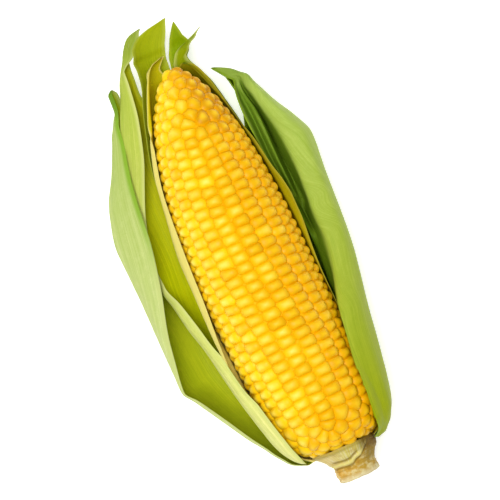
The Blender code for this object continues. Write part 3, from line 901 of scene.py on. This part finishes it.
def build_leaf(name, layer, keys, outer, inner, seed):
    """A ribbed sheet with thin edges: one grid of points facing the ear, and one facing away."""
    rows, columns = LEAF_ROWS, LEAF_COLUMNS
    grid = leaf_surface(layer, keys, rows, columns, TUCKS.get(name, TUCK))
    normals = normals_of(grid)
    centre = np.stack([bow(grid[:, :, 1]), grid[:, :, 1], np.zeros((rows, columns))], axis=2)
    facing = ((centre - grid) * normals).sum(axis=2)
    inward = 1.0 if facing[: rows // 2, : columns // 4].mean() > 0 else -1.0
    normals = normals * inward
    across, along = distances(grid, 1), distances(grid, 0)
    width = across[:, -1:]
    edge = np.minimum(across, width - across)
    end = np.minimum(along, along[-1:] - along)
    lane = np.broadcast_to(np.linspace(0, 1, columns), across.shape) * width.max()
    # fine parallel ribs, and a slow unevenness away from the edges
    ribs = 0.5 + 0.5 * np.cos(lane * 2 * math.pi / RIB_WIDTH + seed)
    seats = grid * (0.07, 0.035, 0.07) + (seed, 0.0, 0.0)
    slow = np.array([[noise.noise(Vector(seat)) for seat in row] for row in seats])
    depth = 0.05 * (ribs - 0.5) + 0.6 * slow * np.clip(edge / 4, 0, 1)
    grid = grid + normals * depth[:, :, None]
    normals = normals_of(grid) * inward
    thickness = LEAF_THICKNESS * np.clip(np.minimum(edge, end) / 1.2 + 0.3, 0.3, 1.0)
    half = normals * (thickness / 2)[:, :, None]
    points = np.concatenate(((grid + half).reshape(-1, 3), (grid - half).reshape(-1, 3)))
    inner_faces = grid_faces(rows, columns, flip=inward < 0)
    outer_faces = grid_faces(rows, columns, offset=rows * columns, flip=inward > 0)
    rim_faces = border_faces(rows, columns, flip=inward < 0)
    indices = [1] * len(inner_faces) + [0] * len(outer_faces) + [1] * len(rim_faces)
    faces = inner_faces + outer_faces + rim_faces
    obj = make_object(name + "_leaf", to_world(points), faces, [outer, inner], indices)
    place = np.stack([lane, along, edge], axis=2).reshape(-1, 3)
    share = np.clip((grid[:, :, 1] - LEAVES_FROM_Y) / (grid[-1, 0, 1] - LEAVES_FROM_Y), 0, 1)
    set_attribute(obj, "leaf_place", both_faces(place))
    set_attribute(obj, "leaf_share", both_faces(share.ravel()))
    set_attribute(obj, "leaf_shade_and_dark_tips", both_faces(leaf_shade_and_dark_tips(name, grid).ravel()))
    return obj


def leaf_material(name, colours, seed, roughness, rim, darkened):
    """A leaf face: parallel veins run its length, and its colour changes in streaks along them."""
    n = Nodes(name)
    lane, along, edge = n.parts(n.attribute("leaf_place", "Vector"))

    def grain(stretch, shift):
        """A place for noise that is drawn out along the leaf."""
        return n.vector(lane, n.math("MULTIPLY", along, stretch), float(seed) + shift)

    at_stem, at_tip, at_rim, *low_rim = (lit(*colour) for colour in colours)
    share = n.attribute("leaf_share")
    base = n.mix(n.remap(share, 0.05, 0.85, way="LINEAR"), at_stem, at_tip)
    if low_rim:
        at_rim = n.mix(n.remap(share, 0.50, 0.74), low_rim[0], at_rim)
    streaks = n.noise(grain(0.03, 0), 0.55, 3.0, 0.55)
    fine = n.noise(grain(0.010, 9), 2.6, 2.0, 0.6)
    cells = n.noise(grain(0.35, 3), 4.0)
    mottle = n.noise(grain(0.6, 5), 0.45, 3.0, 0.65)
    base = n.tinted(
        base,
        (streaks, (0.32, 0.68), (0.30, 0.0), (0.72, 0.80, 0.45)),
        (streaks, (0.5, 0.8), (0.0, 0.30), (1.25, 1.18, 1.5)),
        (fine, (0.40, 0.66), (0.0, 0.8), (1.16, 1.12, 1.30)),
        (fine, (0.28, 0.44), (0.5, 0.0), (0.84, 0.90, 0.66)),
        (cells, (0.38, 0.68), (0.0, 0.35), (0.82, 0.88, 0.66)),
        (mottle, (0.45, 0.7), (0.0, 0.6), (1.12, 1.08, 1.25)),
    )
    base = n.layered(base, (edge, rim, (0.9, 0.0), at_rim))
    # Painted shade: the folded-in part and some tips are darkened by a multiplied colour.
    if darkened:
        shaded_colour = n.mix(1.0, base, (0.36, 0.46, 0.14), "MULTIPLY")
        base = n.mix(n.attribute("leaf_shade_and_dark_tips"), base, shaded_colour)
    relief = n.math("ADD", n.math("MULTIPLY", fine, 0.8), n.math("MULTIPLY", cells, 0.12))
    return n.done(
        Base_Color=base,
        Roughness=n.remap(streaks, 0.3, 0.7, roughness, roughness + 0.12),
        Normal=n.bump(relief, 0.0003, 0.5),
        Specular_IOR_Level=0.1,
        Subsurface_Weight=0.06,
        Subsurface_Radius=(0.0008, 0.0012, 0.0003),
        Subsurface_Scale=1.0,
        IOR=1.4,
    )


# ---- the stem
# (y, radius on the left, radius on the right) down the stem, from inside the husk to the snapped end.
STEM_OUTLINE = (
    (-90.0, 0.5, 0.5), (-89.9, 8.0, 8.0), (-89.3, 13.4, 11.8), (-89.0, 14.6, 12.6), (-89.8, 14.9, 13.0),
    (-91.2, 13.4, 13.0), (-92.9, 11.6, 12.7), (-95.0, 9.8, 11.8), (-96.7, 8.6, 10.5), (-98.3, 8.5, 9.7),
    (-100.0, 8.6, 9.2), (-101.7, 8.3, 9.3), (-103.4, 8.1, 9.4), (-104.1, 7.4, 8.7), (-104.0, 4.0, 4.6),
    (-103.8, 0.3, 0.3),
)
STEM_MIDDLE = 0.55  # right of the centreline
STEM_TOP_Y = -88.7
# Where the collar's lip is: degrees round from the top, plus to the right, and y.
LIP = ((-110, -95.4), (-90, -96.4), (-40, -97.2), (0, -97.1), (22, -95.4), (32, -92.9), (45, -90.4))


def bell(value, middle, width):
    return math.exp(-((value - middle) / width) ** 2)


def between(value, rise, fall):
    """1 between a soft rise and a soft fall, each given as where it starts and ends."""
    return soft_step(value, *rise) * (1 - soft_step(value, *fall))


def build_stem(material):
    """A ragged collar of torn leaf bases, with a lip along its lower edge, over a fibrous stub."""
    outline = np.array(STEM_OUTLINE)
    rows, columns = 230, 320
    lengths = path_lengths(outline)
    smooth = hermite(lengths, outline, np.linspace(0, lengths[-1], rows))
    lips = np.array(LIP, float)
    points, looks, tones = [], [], []
    for y, left, right in smooth:
        for j in range(columns):
            up = -180 + 360 * j / columns  # degrees round from the top, plus to the right
            a = math.radians(up)
            side, top = math.sin(a), math.cos(a)
            radius = (left + right) / 2 + (right - left) / 2 * side
            lip_y = np.interp(up, lips[:, 0], lips[:, 1]) + 0.25 * math.sin(a * 7)
            present = between(up, (-125, -95), (38, 46))
            above = soft_step(y, lip_y - 0.35, lip_y + 0.25)
            ridge = bell(y - lip_y, 0.75, 0.75) * present
            crease = bell(y - lip_y, 2.3, 0.7) * present * between(up, (-70, -40), (12, 26))
            under = bell(y - lip_y, -0.6, 0.6) * present
            fibre = noise.noise(Vector((a * 9.0, y * 0.16, 3.0)))
            fibre += 0.5 * noise.noise(Vector((a * 21.0, y * 0.3, 9.0)))
            lump = noise.noise(Vector((side * 2.2, top * 2.2, y * 0.10)) * 1.3)
            scar = noise.noise(Vector((a * 1.6, y * 1.1, 21.0))) * (1 - above)
            relief = 0.55 * ridge - 0.75 * crease - 0.45 * under + 0.16 * fibre + 0.35 * lump + 0.22 * scar
            full = min(radius / 7, 1.0)  # less relief towards the middle of the snapped end
            radius = max(radius + full * relief, 0.0)
            shift = 0.30 * noise.noise(Vector((side * 3.1, top * 3.1, 5.0)))
            shift += 0.12 * noise.noise(Vector((a * 14.0, 2.0, 1.0)))
            shift *= full * (1.0 if y > LEAVES_FROM_Y else 0.5)
            middle = bow(STEM_Y) + STEM_MIDDLE
            points.append((middle + radius * side, min(y + shift, STEM_TOP_Y), radius * top))
            # Painted shade, in part: the dark patch on the right of the collar is partly the torn fibres' own
            # brown and partly the shade of a recess where the right leaf joins.
            dark = between(up, (14, 34), (150, 175)) * soft_step(y, -95.6, -92.6)
            olive = between(up, (18, 48), (120, 150)) * soft_step(y, -100.5, -97.0)
            looks.append((above * present, ridge, dark))
            # The crease above the lip and the band under it are also darkened in the colour, as painted
            # shade.
            tones.append((max(crease, under), olive * (1 - 0.6 * dark), up / 180))
    obj = make_object("stem_stub", to_world(points), grid_faces(rows, columns, wrap=True), [material])
    set_attribute(obj, "stem_looks", looks)
    set_attribute(obj, "stem_tones", tones)
    finish_piece(obj, "stem", "stem")


def stem_material():
    """A cream collar over a tan stub, with a dark brown patch on the right, partly the torn fibres' own
    colour and partly painted shade of the recess where the right leaf joins, and an olive patch on the right.
    """
    n = Nodes("stem_flesh")
    collar, ridge, dark = n.parts(n.attribute("stem_looks", "Vector"))
    lip_shade, olive, turn = n.parts(n.attribute("stem_tones", "Vector"))
    length = n.math("MULTIPLY", n.parts(n.object_place())[1], 1000.0)

    def mottling(round_scale, length_scale, seed, scale=1.0, detail=3.0):
        along = n.math("MULTIPLY", length, length_scale)
        return n.noise(n.vector(n.math("MULTIPLY", turn, round_scale), along, seed), scale, detail, 0.6)

    fibres = mottling(60.0, 0.10, 4.0)
    patches = mottling(9.0, 0.32, 11.0)
    bands = mottling(2.5, 1.1, 2.0, detail=2.0)
    specks = mottling(30.0, 1.0, 1.0, 2.2, 2.0)
    full = (0.0, 1.0)
    stub = n.layered(
        lit(236, 186, 84),
        (turn, (-0.35, 0.20), full, lit(196, 158, 56)),
        (patches, (0.46, 0.64), (0.0, 0.75), lit(240, 226, 164)),
        (patches, (0.30, 0.46), (0.6, 0.0), lit(178, 124, 34)),
        (bands, (0.50, 0.72), (0.0, 0.5), lit(170, 132, 44)),
        (length, (-103.6, -101.0), (0.65, 0.0), lit(244, 236, 190)),
    )
    skin = n.layered(
        lit(234, 208, 122),
        (turn, (-0.25, 0.02), full, lit(222, 208, 96)),
        (fibres, (0.42, 0.66), (0.0, 0.7), lit(246, 236, 186)),
        (patches, (0.50, 0.70), (0.0, 0.6), lit(190, 158, 66)),
    )
    base = n.layered(n.mix(collar, stub, skin), (ridge, (0.25, 0.8), (0.0, 0.85), lit(240, 226, 134)))
    olive = n.math("MULTIPLY", olive, n.remap(specks, 0.25, 0.6, 0.45, 0.85))
    # The olive patch, then painted shade in the crease above the lip and under it, and along the top of the
    # collar under the kernels.
    base = n.layered(
        n.mix(olive, base, lit(146, 120, 30)),
        (lip_shade, (0.3, 0.9), (0.0, 0.75), lit(150, 122, 34)),
        (length, (-91.6, -90.2), (0.0, 0.7), lit(176, 152, 50)),
    )
    # The dark brown patch on the right: partly the fibres' own brown, partly painted shade of a recess.
    dark = n.math("MULTIPLY", dark, n.remap(fibres, 0.3, 0.6, 0.95, 0.7))
    base = n.mix(dark, base, lit(88, 60, 2))
    base = n.layered(base, (specks, (0.58, 0.8), (0.0, 0.35), lit(150, 112, 40)))
    relief = n.math("ADD", fibres, n.math("MULTIPLY", specks, 0.4))
    return n.done(
        Base_Color=base,
        Roughness=n.remap(fibres, 0.3, 0.7, 0.55, 0.75),
        Normal=n.bump(relief, 0.0004, 0.6),
        Specular_IOR_Level=0.15,
        Subsurface_Weight=0.08,
        Subsurface_Radius=(0.0015, 0.0012, 0.0006),
        Subsurface_Scale=1.0,
    )


# ---- build
rng = np.random.default_rng(7)
build_kernels(rng, kernel_material())
build_cob(cob_material())
for seed, (leaf_name, leaf_facts) in enumerate(LEAVES.items(), 1):
    leaf_layer, leaf_keys, slot, outer_colours, inner_colours = leaf_facts
    outer_rim, inner_rim = RIMS.get(leaf_name, RIM)
    darkened = leaf_name in FOLD_SHADE or leaf_name in DARK_TIPS
    outer = leaf_material(leaf_name + "_outer", outer_colours, seed, 0.45, outer_rim, darkened)
    inner = leaf_material(leaf_name + "_inner", inner_colours, seed + 20, 0.50, inner_rim, darkened)
    leaf = build_leaf(leaf_name, leaf_layer, leaf_keys, outer, inner, seed)
    finish_piece(leaf, slot, leaf_name)
build_stem(stem_material())


# ---- floor, light and camera, in metres
FLOOR_HALF_SIDE = 3.0
FLOOR_BELOW = 0.0002  # under the resting plane
SKY_BAND = (0.06, 0.20)  # where the sky darkens, as the z of a direction
SKY_STRENGTH = (0.95, 0.28)  # below and above that
LAMPS = (  # name, place, size and power
    ("key", (-0.24, 0.12, 1.6), 0.8, 21.6),
    ("top", (0.10, 0.0, 1.6), 1.2, 5.8),
)
LAMPS_AIM = Vector((0, 0, 0.03))
VIEW_WIDTH = 0.2083  # what the camera sees at VIEW_HEIGHT
VIEW_HEIGHT = 0.030
CAMERA_PLACE = (0.00415, 0.0004)
CAMERA_TURN = -23.909


def build_floor():
    side = FLOOR_HALF_SIDE
    corners = [(-side, -side, 0), (side, -side, 0), (side, side, 0), (-side, side, 0)]
    floor = make_object("floor", corners, [(0, 1, 2, 3)], [], smooth=False)
    n = Nodes("floor_white")
    floor.data.materials.append(n.done(
        Base_Color=(0.95, 0.95, 0.95),
        Roughness=0.9,
        Emission_Color=(1.0, 1.0, 1.0),
        Emission_Strength=0.42,
    ))
    floor.location.z = -FLOOR_BELOW


def build_sky():
    """An even white sky, brighter in a low band round the horizon."""
    n = Nodes("studio", "worlds")
    height = n.parts(n.add("TexCoord").outputs["Generated"])[2]
    strength = n.remap(height, *SKY_BAND, *SKY_STRENGTH)
    n.fill(n.tree.nodes["Background"], Color=(1, 1, 1), Strength=strength)
    bpy.context.scene.world = n.owner


def build_lamps():
    for name, place, size, power in LAMPS:
        light = bpy.data.lights.new(name, "AREA")
        light.size = size
        light.energy = power
        lamp = bpy.data.objects.new(name, light)
        lamp.location = place
        lamp.rotation_mode = "QUATERNION"
        lamp.rotation_quaternion = (LAMPS_AIM - lamp.location).to_track_quat("-Z", "Y")
        bpy.context.scene.collection.objects.link(lamp)


def build_camera():
    """Straight above, turned so that the tip points up and to the left."""
    camera = bpy.data.cameras.new("camera")
    camera.sensor_width = 36.0
    camera.lens = 200.0
    camera.clip_start, camera.clip_end = 0.05, 10.0
    made = bpy.data.objects.new("camera", camera)
    made.location = (*CAMERA_PLACE, VIEW_HEIGHT + VIEW_WIDTH * camera.lens / camera.sensor_width)
    made.rotation_euler = (0, 0, math.radians(CAMERA_TURN))
    bpy.context.scene.collection.objects.link(made)
    bpy.context.scene.camera = made


build_floor()
build_sky()
build_lamps()
build_camera()
bpy.context.scene.view_settings.view_transform = "Standard"
